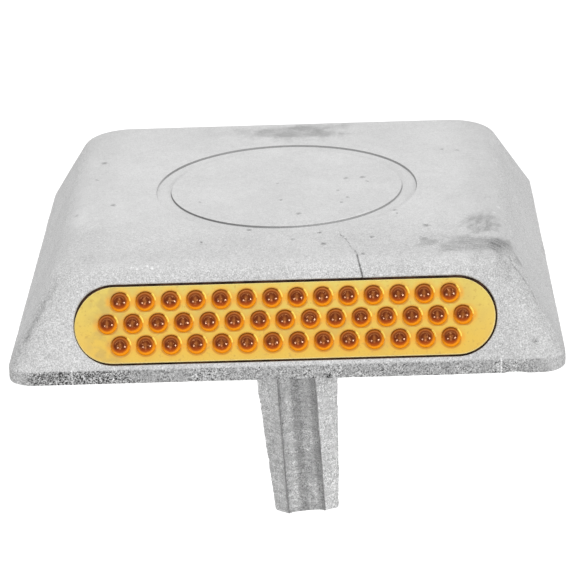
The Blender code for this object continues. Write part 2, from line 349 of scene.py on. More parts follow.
def body_grain(point, normal):
    """Uneven cast surface: rough on the rim, gently wavy on the sides and top."""
    p = Vector(point) / MM
    rim = 1 - smooth_step(RIM_HEIGHT / MM - 0.2, RIM_HEIGHT / MM + 0.5, p.z)
    coarse = noise.noise(p * 0.9)
    fine = noise.noise(p * 2.3 + Vector((7.1, 3.3, 1.7)))
    swell = noise.noise(p * 0.11)
    rough = 0.055 * coarse + 0.035 * fine
    calm = 0.006 * coarse + 0.004 * fine
    on_top = smooth_step(0.6, 0.95, normal[2])
    shift = rim * rough + (1 - rim) * calm + swell * (0.05 - 0.03 * on_top)
    return (shift + flash_line(p, rim) - rim_dents(p, rim)) * MM


def flash_line(p, rim):
    """Thin raised seams that the mould inserts leave on the front and rear rims."""
    across = min(abs(p.x - 38.4), abs(p.x + 38.4))
    facing = smooth_step(46.0, 48.5, abs(p.y))
    return 0.05 * rim * facing * max(0.0, 1 - across / 0.45)


def rim_dents(p, rim):
    """Shallow chips along the lower edge of the rim."""
    low = 1 - smooth_step(0.2, 1.2, p.z)
    chips = max(0.0, noise.noise(Vector((p.x * 0.16, p.y * 0.16, 4.0))) - 0.28)
    return rim * low * 0.5 * chips


def shank_ring(width, height, inset=0.0, flare=0.0):
    """An octagon with a round-bottomed flute in each straight-on face."""
    half = width / 2 - inset
    flute_half = min(FLUTE_WIDTH / 2, half * 0.62)
    depth = FLUTE_DEPTH * flute_half / (FLUTE_WIDTH / 2) * (1 - flare)
    depth *= smooth_step(-2.0 * MM, 8.0 * MM, height - SHANK_TIP) * 0.5 + 0.5
    across = np.linspace(-1, 1, FLUTE_STEPS + 1)
    rounded = np.sqrt(np.clip(1 - across**2, 0, 1)) ** 0.8
    flute = np.stack([half - depth * rounded, flute_half * across], 1)
    turned = np.stack([-flute[:, 1], flute[:, 0]], 1)
    share = np.linspace(0, 1, FACET_STEPS + 1)[1:-1, None]
    facet = flute[-1] * (1 - share) + turned[0] * share
    quarter = np.concatenate([flute, facet])
    lean = -height * math.tan(SHANK_LEAN)
    return at_height(four_turns(quarter) * (1 + flare) + (lean, 0.0), height)


def shank_rings():
    """Rings from the shank's flared root to the middle of its slanted tip."""
    straight = SHANK_TIP + SHANK_TIP_ROUND
    narrowing = (SHANK_ROOT_WIDTH - SHANK_TIP_WIDTH) / -SHANK_TIP
    rings = []
    for height in np.linspace(SHANK_TOP, straight, SHANK_RINGS):
        opening = min(1.0, max(0.0, (height + 2.0 * MM) / (3.0 * MM)))
        width = SHANK_ROOT_WIDTH + narrowing * min(height, 0)
        rings.append(shank_ring(width, height, 0.0, SHANK_FLARE * opening**2))
    for angle in np.linspace(0, math.pi / 2, SHANK_TIP_RINGS)[1:]:
        height = straight - SHANK_TIP_ROUND * math.sin(angle)
        inset = SHANK_TIP_ROUND * (1 - math.cos(angle)) * 0.9
        rings.append(shank_ring(SHANK_ROOT_WIDTH + narrowing * height, height, inset))
    centre = rings[-1].mean(0)
    outline = rings[-1]
    for share in (0.8, 0.6, 0.4, 0.15):
        rings.append(centre + (outline - centre) * share)
    front = centre[1] - SHANK_TIP_WIDTH / 2
    for ring in rings:
        near_tip = 1 - smooth_step(0, 6.0 * MM, ring[0, 2] - SHANK_TIP)
        across = ring[:, 0] - centre[0]
        behind = np.clip((ring[:, 1] - front) / (2.6 * MM), 0, 1)
        beyond = np.clip(across - FLUTE_WIDTH / 2, 0, None)
        fall = SHANK_TIP_SAG * behind + (SHANK_TIP_FALL + SHANK_TIP_TILT) * beyond
        ring[:, 2] += near_tip * (SHANK_TIP_TILT * (across + FLUTE_WIDTH / 2) - fall)
    return rings


def shank_grain(point, normal):
    p = Vector(point) / MM
    low = smooth_step(0.0, 1.5, -p.z)
    diagonal = abs(abs(normal[0]) - abs(normal[1]))
    in_flute = smooth_step(0.1, 0.5, diagonal)
    coarse = noise.noise(p * 0.55 + Vector((3.0, 9.0, 2.0)))
    fine = noise.noise(Vector((p.x, p.y, p.z * 1.3)) * 1.5)
    swell = noise.noise(p * 0.2 + Vector((0, 0, 5.0)))
    amount = 0.05 + 0.1 * in_flute
    sideways = math.hypot(normal[0], normal[1])
    return low * (amount * coarse + 0.55 * amount * fine + 0.12 * swell - 0.1) * sideways * MM


def pocket_ring(centre, shrink, corner_shrink, height):
    """A rounded rectangle, smaller than a pocket's outline all round by shrink."""
    half_x, half_y = (half - shrink for half in POCKET_HALF)
    radius = POCKET_CORNER - corner_shrink
    points = []
    for quarter, (sx, sy) in enumerate(((1, 1), (-1, 1), (-1, -1), (1, -1))):
        angles = (quarter + np.linspace(0, 1, POCKET_CORNER_STEPS + 1)) * math.pi / 2
        x = centre[0] + sx * (half_x - radius) + radius * np.cos(angles)
        y = centre[1] + sy * (half_y - radius) + radius * np.sin(angles)
        points.append(np.stack([x, y], 1))
    return at_height(np.concatenate(points), height)


def pocket_tools():
    """The four pockets of the underside, as solids to cut away."""
    tools = []
    for sx in (1, -1):
        for sy in (1, -1):
            centre = (sx * POCKET_CENTRE[0], sy * POCKET_CENTRE[1])
            rings = [pocket_ring(centre, -POCKET_MOUTH, -POCKET_MOUTH, -1.0 * MM)]
            for height, shrink in POCKET_SECTION:
                rings.append(pocket_ring(centre, shrink, shrink * 0.4, height))
            tools.append(lofted_mesh("pocket_tool", rings))
    return tools


def stadium_ring(half_length, radius, height, corner_room=0.0, edge_room=0.0, left_room=0.0):
    """A straight-sided outline with round ends, which swells at its two upper corners, along its
    upper and lower edges and at its lower left end by the three rooms."""
    points = []
    for side in (1, -1):
        for step in range(END_STEPS + 1):
            angle = math.pi * (step / END_STEPS - 0.5) + (0 if side == 1 else math.pi)
            reach = radius + edge_room * math.sin(angle) ** 2
            if math.sin(angle) > 0:
                reach += corner_room * math.sin(2 * angle) ** 2
            if side == -1:
                from_left = abs(angle - math.radians(205)) / math.radians(60)
                reach += left_room * (1 - smooth_step(0.3, 1.0, from_left))
            x = side * (half_length - radius) + reach * math.cos(angle)
            points.append((x, reach * math.sin(angle), height))
    return np.array(points)


def side_matrix(turn):
    """From a side's plane (X along, Y up the slope, Z outwards) to the frame."""
    inward = BASE_HALF - (PANEL_CENTRE_HEIGHT - RIM_HEIGHT) / math.tan(SIDE_SLOPE)
    place = Matrix.Translation((0.0, -inward * math.cos(turn), PANEL_CENTRE_HEIGHT))
    return place @ Matrix.Rotation(turn, 4, "Z") @ Matrix.Rotation(SIDE_SLOPE, 4, "X")


def recess_tool(turn):
    lip = 0.12 * MM
    half = PANEL_HALF_LENGTH + PANEL_GAP
    radius = PANEL_END_RADIUS + PANEL_GAP
    levels = [(RECESS_FLOOR, 0.0), (-lip - SURFACE_ROOM, 0.0), (-SURFACE_ROOM, lip), (2.0 * MM, lip)]
    rings = []
    for z, more in levels:
        rings.append(stadium_ring(half + more, radius + more, z, RECESS_CORNER_ROOM, RECESS_EDGE_ROOM))
    mesh = lofted_mesh("recess_tool", rings)
    mesh.transform(side_matrix(turn))
    return mesh


def make_casting(material):
    shell = lofted_mesh("marker_casting", body_rings())
    move_along_normals(shell, body_grain)
    shank = lofted_mesh("shank", shank_rings())
    shank.flip_normals()
    move_along_normals(shank, shank_grain)
    casting = add_piece("marker_casting", shell)
    carve(casting, [shank], "UNION")
    carve(casting, pocket_tools() + [recess_tool(0.0), recess_tool(math.pi)])
    finish_carved(casting, material, SHARP_ANGLE)
    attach(casting, BODY)
    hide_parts("cast_body")


# --- Reflectors ---


def bead_places():
    """Name of each front CAD bead and its place on the front side's surface."""
    to_place = side_matrix(0.0).to_3x3() @ Vector((0, BEAD_RAISE, BEAD_BOX_TO_SURFACE))
    places = {}
    for node in sorted(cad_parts):
        if node.startswith("front_bead_"):
            low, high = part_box(node)
            places[node] = (low + high) / 2 + to_place
    return places


def bead_circle(radius, height):
    """A circle with as many points as a bead has round it."""
    angles = np.linspace(0, 2 * math.pi, BEAD_STEPS + 1)[:-1]
    return at_height(np.stack([np.cos(angles), np.sin(angles)], 1) * radius, height)


def bead_rings():
    """Rings of a bead from its flat back, over the collar, to the dome's top."""
    rings = [bead_circle(radius * MM, height * MM) for radius, height in BEAD_SIDE]
    sphere = (DOME_RADIUS**2 + DOME_RISE**2) / (2 * DOME_RISE)
    reach = math.asin(DOME_RADIUS / sphere)
    for angle in np.linspace(reach, 0.03, DOME_RINGS):
        height = DOME_RISE - PANEL_SINK - sphere * (1 - math.cos(angle))
        rings.append(bead_circle(sphere * math.sin(angle), height))
    return rings


def make_beads(material):
    mesh = lofted_mesh("bead", bead_rings())
    for turn, side in ((0.0, "front"), (math.pi, "rear")):
        half_turn = Matrix.Rotation(turn, 4, "Z")
        for node, place in bead_places().items():
            row = node.split("_")[2]
            bead = add_piece(node.replace("front_bead", f"bead_{side}"), mesh, material)
            spin = side_matrix(turn).to_3x3().to_4x4()
            bead.matrix_world = Matrix.Translation(half_turn @ place) @ spin
            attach(bead, BODY)
            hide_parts(node if side == "front" else f"rear_bead_row_{row}")


def hole_tools(bead_centres):
    """The holes of a panel's beads, as solids to cut away."""
    tools = []
    for x, y in bead_centres:
        rings = [bead_circle(radius * MM, height * MM) + (x, y, 0.0) for radius, height in HOLE_SIDE]
        tools.append(lofted_mesh("hole_tool", rings))
    return tools


def joined_mesh(meshes):
    """One mesh with the faces of all of them."""
    bm = bmesh.new()
    for mesh in meshes:
        bm.from_mesh(mesh)
    out = bpy.data.meshes.new("joined_tool")
    bm.to_mesh(out)
    bm.free()
    return out


def make_panel(side, turn, material, bead_centres):
    face, edge = -PANEL_SINK, PANEL_BEVEL
    levels = [(face - PANEL_THICKNESS, 0.0), (face - edge, 0.0)]
    for angle in np.radians((30, 60, 90)):
        levels.append((face - edge * (1 - math.sin(angle)), edge * (1 - math.cos(angle))))
    rings = []
    for z, less in levels:
        half, radius = PANEL_HALF_LENGTH - less, PANEL_END_RADIUS - less
        rings.append(stadium_ring(half, radius, z, left_room=PANEL_LEFT_ROOM))
    panel = add_piece(f"panel_{side}", lofted_mesh("panel", rings))
    carve(panel, [joined_mesh(hole_tools(bead_centres))])
    finish_carved(panel, material, PANEL_SHARP_ANGLE)
    panel.matrix_world = side_matrix(turn) @ Matrix.Translation((0, -PANEL_DROP, 0))
    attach(panel, BODY)
    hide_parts(f"{side}_reflector_panel")


def make_glue(side, turn, material):
    """A tray of set glue: a floor under the mirror backing and an uneven wall round the panel."""
    half, radius = PANEL_HALF_LENGTH, PANEL_END_RADIUS
    out = PANEL_GAP - GLUE_GAP
    outer = stadium_ring(half + out, radius + out, 0.0, RECESS_CORNER_ROOM, RECESS_EDGE_ROOM)
    inner = stadium_ring(half + GLUE_GAP, radius + GLUE_GAP, 0.0, left_room=PANEL_LEFT_ROOM)
    inner[:, 1] -= PANEL_DROP
    crest = [GLUE_CREST + GLUE_UNEVEN * noise.noise(Vector(p) / MM * 0.35) for p in outer]
    crest = np.array(crest)[:, None] * MM
    rings = [
        outer + (0, 0, RECESS_FLOOR + GLUE_GAP),
        outer + crest * (0, 0, 1),
        (outer + inner) / 2 + (crest + 0.06 * MM) * (0, 0, 1),
        inner + (crest - 0.05 * MM) * (0, 0, 1),
        inner + (0, 0, GLUE_FLOOR),
    ]
    glue = add_piece(f"glue_{side}", lofted_mesh("glue", rings), material)
    glue.matrix_world = side_matrix(turn)
    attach(glue, BODY)
    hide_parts(f"{side}_adhesive_bed")


# --- Materials ---


class Shader:
    """One material's nodes, with short calls that add and join them."""

    def __init__(self, name):
        self.material = bpy.data.materials.new(name)
        self.material.use_nodes = True
        self.tree = self.material.node_tree
        self.surface = self.tree.nodes["Principled BSDF"]

    def add(self, kind, inputs=None, **settings):
        node = self.tree.nodes.new(f"ShaderNode{kind}")
        for key, value in settings.items():
            setattr(node, key, value)
        for key, value in (inputs or {}).items():
            self.feed(node.inputs[key], value)
        return node

    def feed(self, socket, value):
        if isinstance(value, bpy.types.NodeSocket):
            self.tree.links.new(value, socket)
        else:
            socket.default_value = value

    def maths(self, operation, *values, clamp=False):
        node = self.add("Math", dict(enumerate(values)), operation=operation, use_clamp=clamp)
        return node.outputs[0]

    def plus(self, first, second):
        return self.maths("ADD", first, second)

    def minus(self, first, second):
        return self.maths("SUBTRACT", first, second)

    def times(self, first, second):
        return self.maths("MULTIPLY", first, second)

    def over(self, first, second):
        return self.maths("DIVIDE", first, second)

    def raised(self, total, share, amount):
        """The total, changed by the amount times the share."""
        return self.maths("MULTIPLY_ADD", share, amount, total)

    def size(self, value):
        return self.maths("ABSOLUTE", value)

    def strongest(self, values, operation="MAXIMUM"):
        total = values[0]
        for value in values[1:]:
            total = self.maths(operation, total, value)
        return total

    def vector(self, operation, *values):
        node = self.add("VectorMath", dict(enumerate(values)), operation=operation)
        is_number = operation in ("LENGTH", "DISTANCE", "DOT_PRODUCT")
        return node.outputs["Value" if is_number else "Vector"]

    def join(self, x, y, z=0.0):
        return self.add("CombineXYZ", {0: x, 1: y, 2: z}).outputs[0]

    def length(self, x, y):
        return self.vector("LENGTH", self.join(x, y))

    def position(self):
        """Object coordinates in millimetres."""
        coordinates = self.add("TexCoord").outputs["Object"]
        return self.vector("MULTIPLY", coordinates, (1 / MM,) * 3)

    def split(self, vector):
        return self.add("SeparateXYZ", {0: vector}).outputs

    def noise(self, vector, scale, detail=2.0, roughness=0.5):
        inputs = {"Vector": vector, "Scale": scale, "Detail": detail, "Roughness": roughness}
        return self.add("TexNoise", inputs).outputs["Fac"]

    def swing(self, vector, scale, detail, roughness=0.5):
        """Noise from -1 to 1."""
        return self.times(self.minus(self.noise(vector, scale, detail, roughness), 0.5), 2.0)

    def between(self, value, low, high, out_low=0.0, out_high=1.0, smooth=True):
        """Map low..high to out_low..out_high, held at both ends."""
        kind = "SMOOTHSTEP" if smooth else "LINEAR"
        inputs = {"Value": value, "From Min": low, "From Max": high, "To Min": out_low, "To Max": out_high}
        return self.add("MapRange", inputs, interpolation_type=kind).outputs[0]

    def band(self, value, middle, inner, outer, strength=1.0):
        """The strength within inner of the middle, nothing beyond outer."""
        return self.between(self.size(self.minus(value, middle)), inner, outer, strength, 0.0)

    def mix(self, share, first, second):
        """From the first colour to the second. A colour is a socket, or red, green and blue."""
        node = self.add("Mix", data_type="RGBA")
        for key, value in ((0, share), (6, first), (7, second)):
            self.feed(node.inputs[key], (*value, 1) if isinstance(value, tuple) else value)
        return node.outputs[2]

    def grey(self, value):
        return self.add("CombineColor", {0: value, 1: value, 2: value}).outputs[0]

    def bump(self, height, distance, strength=1.0):
        return self.add("Bump", {"Height": height, "Distance": distance, "Strength": strength}).outputs[0]

    def set(self, **values):
        for key, value in values.items():
            self.feed(self.surface.inputs[key.replace("_", " ")], value)
        return self.material


# --- Cast aluminium: brightness, and places in millimetres ---

# These base tones are partly painted shade: the sides darker than the top, and the upright rim darkest.
BASE_TOP = 0.65
BASE_SIDE = 0.58
BASE_RIM = 0.382
BASE_SHANK = 0.525

# Painted light and shade across a flute: brightness from its left edge (-1) to its right edge (1)
FLUTE_LIGHT_AND_SHADE = (
    (-1.12, 1.0), (-1.03, 0.88), (-0.97, 0.5), (-0.9, 0.9), (-0.45, 0.94), (-0.3, 0.64), (0.02, 0.58),
    (0.16, 0.74), (0.54, 0.76), (0.66, 0.56), (0.86, 0.52), (0.93, 0.46), (1.0, 1.12), (1.1, 1.0),
)
FLUTE_STREAKS = (1.0, 1.0, 0.1)  # how dense the streaks are along each axis
FLUTE_RIPPLES = (0.35, 0.35, 1.5)

SMEAR_CENTRE = (1.3, 33.0)
SMEAR_HALF = (11.5, 5.6)
SEAM_PLACE = 38.2

# Dark pits on the top: x, y, radius, strength
PITS = (
    (-36.3, 17.1, 0.55, 0.45), (-37.1, 6.9, 0.4, 0.35), (-32.9, -7.9, 0.55, 0.45), (-39.6, -12.4, 0.35, 0.3),
    (11.5, 3.8, 0.5, 0.35), (14.7, 4.1, 0.5, 0.4), (15.5, 1.7, 0.35, 0.35), (2.4, -15.6, 0.5, 0.45),
    (9.9, -3.1, 0.35, 0.35), (11.7, -7.2, 0.4, 0.35), (10.6, -10.0, 0.32, 0.35), (26.0, -23.9, 0.6, 0.45),
    (25.3, -31.0, 0.8, 0.35), (-1.7, 2.0, 0.3, 0.35), (-0.9, -7.8, 0.35, 0.45), (-16.4, -7.6, 0.35, 0.3),
    (-6.6, -22.8, 0.45, 0.45), (30.7, 19.7, 0.45, 0.3), (33.6, 18.8, 0.35, 0.3), (16.0, -29.4, 0.45, 0.5),
    (14.3, -37.8, 0.4, 0.4), (7.1, -32.1, 0.5, 0.5), (6.3, -26.3, 0.3, 0.5), (-15.1, -29.6, 0.45, 0.5),
    (1.5, -29.4, 0.35, 0.35), (20.5, -15.3, 0.35, 0.4), (20.9, -16.9, 0.3, 0.4),
)
PIT_SHAPE = (0.85, 0.66, 1.0)  # distances along x, y and z count this much, so pits are long in y

# Spots anywhere on the body: place, radius, change of brightness
SPOTS = (
    ((44.3, -48.3, 5.5), 0.75, -0.2), ((-44.3, -43.5, 10.4), 0.9, -0.08), ((-42.6, -48.5, 5.2), 0.8, -0.1),
    # The dark spot low on the front rim, at x 7.4, is the painted shade of a dent.
    ((7.4, -50.0, 0.6), 0.7, -0.2), ((40.0, -13.8, 18.5), 0.6, 0.12), ((38.9, -17.6, 18.9), 0.5, 0.1),
    ((41.1, 13.7, 17.8), 0.6, 0.12), ((49.5, 3.5, 3.2), 0.8, -0.2), ((-26.3, -40.4, 18.3), 0.28, 0.24),
    ((-25.4, -40.2, 18.4), 0.24, 0.26), ((-24.5, -39.8, 18.6), 0.28, 0.27),
    ((-23.6, -40.3, 18.3), 0.32, 0.25), ((-27.4, -40.1, 18.4), 0.24, 0.2),
    ((-22.5, -40.0, 18.5), 0.26, 0.2),
)

# Lines down the front corners: points, half width, change of brightness
RIGHT_CREASE = (
    (40.4, -37.6, 17.6), (41.0, -39.1, 16.5), (42.1, -39.4, 15.2), (43.3, -40.1, 13.5), (44.5, -41.0, 11.7),
    (45.1, -42.8, 10.1),
)
LEFT_CREASE = ((-40.9, -39.9, 16.1), (-42.9, -41.4, 13.2), (-45.3, -43.1, 9.7), (-46.5, -45.2, 7.1))
CREASES = ((RIGHT_CREASE, 0.28, -0.2), (LEFT_CREASE, 0.9, -0.12))

# Lines on the top, seen in plan: points, half width, change of brightness
CRACK = (
    (9.8, -25.2), (10.5, -27.9), (11.5, -31.6), (12.1, -34.0), (12.8, -36.4), (13.2, -38.7), (13.3, -39.6),
)
CRACK_FOOT = ((13.15, -38.2), (13.3, -39.6), (13.7, -41.3), (14.1, -42.4), (14.3, -43.2))
SCRATCHES_AND_GROOVE_GLINT = (
    (((-37.6, -22.3), (-35.9, -20.0), (-34.2, -16.2), (-32.0, -15.0)), 0.13, 0.16),
    # Not a scratch: a painted highlight, the glint along the inner edge of the groove.
    (((6.4, -21.0), (9.4, -19.8), (12.2, -18.3), (15.8, -15.2)), 0.16, 0.34),
    (((-8.2, -2.2), (-5.6, -2.2)), 0.12, 0.14),
    (((-5.6, -4.0), (-3.2, -4.2)), 0.12, 0.12),
)

# Streaky patches on the top: centre, half sizes, change of brightness, whether its streaks bend
STREAKS = (
    ((36.0, -23.5), (3.6, 5.8), -0.22, False), ((34.0, -34.0), (8.6, 4.9), -0.22, True),
    ((39.4, -35.5), (2.8, 4.6), -0.14, True), ((-37.6, -15.6), (2.8, 8.0), 0.06, False),
    ((34.5, -9.0), (4.5, 3.0), -0.04, False), ((31.8, 19.2), (3.5, 3.0), -0.04, False),
    ((-13.0, 34.5), (5.0, 4.0), -0.04, True),
)
BEND_CENTRE = (29.0, -46.0, 0.0)
STREAK_TURN = 0.33
STREAK_STRETCH = (1.2, 0.25, 1.0)


def spot_at(s, place, centre, radius, strength, shape=(1, 1, 1)):
    """How much a spot changes the surface: strength in its middle, nothing outside it."""
    away = s.vector("LENGTH", s.vector("MULTIPLY", s.vector("SUBTRACT", place, centre), shape))
    return s.between(away, radius * 0.2, radius * 1.25, strength, 0.0)


def line_at(s, place, points, half_width, strength):
    """How much a line through the points changes the surface."""
    marks = []
    points = [tuple(point) + (0.0,) * (3 - len(point)) for point in points]
    for start, end in zip(points, points[1:]):
        run = Vector(end) - Vector(start)
        offset = s.vector("SUBTRACT", place, start)
        along = s.vector("DOT_PRODUCT", offset, tuple(run))
        share = s.maths("MULTIPLY", along, 1 / run.length_squared, clamp=True)
        reach = s.add("VectorMath", {0: tuple(run), "Scale": share}, operation="SCALE").outputs[0]
        away = s.vector("DISTANCE", offset, reach)
        marks.append(s.between(away, half_width * 0.3, half_width * 1.4, strength, 0.0))
    return s.strongest(marks, "MAXIMUM" if strength > 0 else "MINIMUM")


def patch_at(s, flat, centre, half, edge_noise):
    """1 inside an ellipse with a ragged soft edge, 0 outside."""
    offset = s.vector("SUBTRACT", flat, (*centre, 0.0))
    away = s.vector("LENGTH", s.vector("MULTIPLY", offset, (1 / half[0], 1 / half[1], 0)))
    return s.between(s.plus(away, edge_noise), 0.4, 1.25, 1.0, 0.0)


def streak_patterns(s, p, plan):
    """Fine streaks that run straight, and fine streaks that bend round a place."""
    x, _, z = s.split(p)
    turned = s.add("VectorRotate", {"Vector": p, "Angle": STREAK_TURN}, rotation_type="Z_AXIS").outputs[0]
    lean = s.raised(s.times(z, 0.3), x, 0.12)
    bent_place = s.join(s.times(s.vector("DISTANCE", plan, BEND_CENTRE), 1.3), lean)
    straight = s.noise(s.vector("MULTIPLY", turned, STREAK_STRETCH), 0.8, 3.0, 0.7)
    bent = s.noise(bent_place, 0.8, 3.0, 0.7)
    return s.between(straight, 0.3, 0.68, 0.25, 1.0), s.between(bent, 0.3, 0.68, 0.4, 1.0)


def body_marks(s, p):
    """Pits, crack, scratches and stains of the body, with a painted glint by the groove and a painted dent
    shadow, as a change of brightness.
    """
    _, y, z = s.split(p)
    plan = s.vector("MULTIPLY", p, (1.0, 1.0, 0.0))
    wobble = s.add("TexNoise", {"Vector": p, "Scale": 1.1}).outputs["Color"]
    wobble = s.vector("SUBTRACT", wobble, (0.5, 0.5, 0.5))
    wobbly = s.vector("MULTIPLY_ADD", wobble, (1.2, 1.2, 0.0), plan)
    dots = s.between(s.noise(p, 0.7, 3.0), 0.38, 0.6, 0.25, 1.0)
    dots = s.times(dots, s.between(y, -24.5, -29.0, 0.35, 1.0))

    dark = [spot_at(s, wobbly, (px, py, 0.0), radius, much, PIT_SHAPE) for px, py, radius, much in PITS]
    dark.append(s.times(line_at(s, wobbly, CRACK, 0.13, 0.5), dots))
    dark.append(line_at(s, plan, CRACK_FOOT, 0.2, 0.6))
    total = s.times(s.strongest(dark), -0.6)
    for points, width, strength in SCRATCHES_AND_GROOVE_GLINT:
        total = s.raised(total, line_at(s, plan, points, width, strength), dots)

    straight, bent = streak_patterns(s, p, plan)
    rag = s.swing(p, 0.28, 3.0)
    for centre, half, strength, bends in STREAKS:
        patch = s.times(patch_at(s, plan, centre, half, rag), bent if bends else straight)
        total = s.raised(total, patch, strength)
    total = s.times(total, s.between(z, 13.0, 15.0))

    for place, radius, strength in SPOTS:
        total = s.plus(total, spot_at(s, p, place, radius, strength))
    for points, width, strength in CREASES:
        total = s.raised(total, line_at(s, p, points, width, strength), dots)
    return total


def body_zones(s, y, z):
    """How much a place belongs to each part of the casting, from 0 to 1."""
    rim_top, body_top = RIM_HEIGHT / MM, BODY_HEIGHT / MM
    rim = s.times(s.between(z, rim_top - 0.1, rim_top + 0.3, 1.0, 0.0), s.between(z, -0.6, -0.2))
    shank = s.between(z, -0.9, -0.3, 1.0, 0.0)
    top = s.between(z, body_top - 2.2, body_top - 0.1)
    side = s.maths("SUBTRACT", s.minus(1.0, top), s.plus(rim, shank), clamp=True)
    front = s.times(top, s.between(y, -10.0, -34.0))
    return {"rim": rim, "shank": shank, "top": top, "side": side, "front": front}


def body_tone(s, x, y, on, dark_end, corner):
    """Brightness of the casting's parts, with the wide differences across each. Much of it is painted light
    and shade: the rim darker and lighter round its ends, the left face darker towards the front, the right
    face lighter and the top darker near its left and right edges.
    """
    rim_tone = s.raised(BASE_RIM, dark_end, -0.1)
    # painted light: the rim lighter round its ends
    rim_tone = s.raised(rim_tone, corner, s.between(x, -10.0, 10.0, 0.24, 0.14))
    value = s.times(on["top"], BASE_TOP)
    value = s.raised(value, on["side"], BASE_SIDE)
    value = s.raised(value, on["rim"], rim_tone)
    value = s.raised(value, on["shank"], BASE_SHANK)
    value = s.raised(value, on["front"], -0.055)
    value = s.raised(value, s.times(s.between(y, 18.0, 36.0), on["top"]), -0.025)
    # painted light and shade on the sides: the left face darker towards the front and the right face
    # lighter; the sides are also darker at the front right
    on_left = s.between(s.plus(x, s.size(y)), 1.5, -1.5)
    side_tone = s.times(on_left, s.between(y, -46.0, -36.0, -0.06, 0.005))
    side_tone = s.plus(side_tone, s.between(x, 39.0, 42.0, 0.0, 0.032))
    front_right = s.times(s.between(y, -36.0, -42.0), s.between(x, 28.0, 40.0))
    side_tone = s.raised(side_tone, front_right, -0.06)
    value = s.raised(value, side_tone, on["side"])
    # painted shade: the top darker near its left and right edges
    edge_tone = s.plus(s.between(x, 32.5, 37.5, 0.0, -0.05), s.between(x, -31.0, -37.0, 0.0, -0.035))
    return s.raised(value, edge_tone, on["top"])


def body_grain_size(s, on, coarse, dark_end, corner):
    """How strong the sandy grain is: most on the rim, in patches, and least on the top."""
    patchy = s.raised(s.between(coarse, 0.35, 0.65, 0.6, 1.5), dark_end, 0.9)
    patchy = s.times(patchy, s.raised(1.0, corner, -0.55))
    grain = s.raised(0.42, s.times(on["rim"], patchy), 1.35)
    grain = s.raised(grain, on["side"], 0.68)
    grain = s.raised(grain, s.times(on["shank"], s.between(coarse, 0.35, 0.6, 0.4, 1.4)), 0.95)
    return s.raised(grain, on["front"], 0.3)


def groove_shade(s, x, y, z):
    """Painted shade on the walls of the groove: how much it darkens the top."""
    from_axis = s.length(x, y)
    outer = s.band(from_axis, GROOVE_OUTER / MM, 0.09, 0.2)
    inner = s.band(from_axis, GROOVE_INNER / MM, 0.05, 0.14)
    outer = s.times(outer, s.between(s.raised(y, x, 0.3), -8.0, 4.0, 0.1, 0.52))
    inner = s.times(inner, s.between(x, -16.0, 8.0, 0.72, 0.46))
    below_top = s.between(z, BODY_HEIGHT / MM - 0.08, BODY_HEIGHT / MM - 0.03, 1.0, 0.0)
    return s.times(s.strongest([outer, inner]), below_top)


def flute_light_and_shade(s, p):
    """Painted light and shade from edge to edge of the flutes, streaked along the shank, with painted light
    on the shank's right side. 1 on the facets.
    """
    x, y, z = s.split(p)
    across = s.raised(x, z, math.tan(SHANK_LEAN))
    faces_y = s.maths("GREATER_THAN", s.size(y), s.size(across))
    on_y = s.times(across, s.times(s.maths("SIGN", y), -1.0))
    on_x = s.times(y, s.maths("SIGN", across))
    place = s.add("Mix", {0: faces_y, 2: on_x, 3: on_y}).outputs[0]
    streak = s.noise(s.vector("MULTIPLY", p, FLUTE_STREAKS), 1.6, 3.0)
    place = s.raised(s.over(place, FLUTE_WIDTH / 2 / MM), s.minus(streak, 0.5), 0.16)
    first, last = FLUTE_LIGHT_AND_SHADE[0][0], FLUTE_LIGHT_AND_SHADE[-1][0]
    ramp = s.add("ValToRGB", {0: s.between(place, first, last, smooth=False)})
    stops = ramp.color_ramp.elements
    while len(stops) < len(FLUTE_LIGHT_AND_SHADE):
        stops.new(0.5)
    for stop, (at, tone) in zip(stops, FLUTE_LIGHT_AND_SHADE):
        stop.position = (at - first) / (last - first)
        stop.color = (tone / 2, tone / 2, tone / 2, 1)
    ripple = s.noise(s.vector("MULTIPLY", p, FLUTE_RIPPLES), 1.3, 3.0, 0.7)
    tone = s.times(s.times(ramp.outputs[0], 2.0), s.between(ripple, 0.3, 0.7, 0.84, 1.16))
    tone = s.times(tone, s.between(streak, 0.3, 0.7, 0.93, 1.07))
    # painted light: the shank's right side lighter
    return s.times(tone, s.between(x, 2.0, 4.5, 1.0, 1.2))


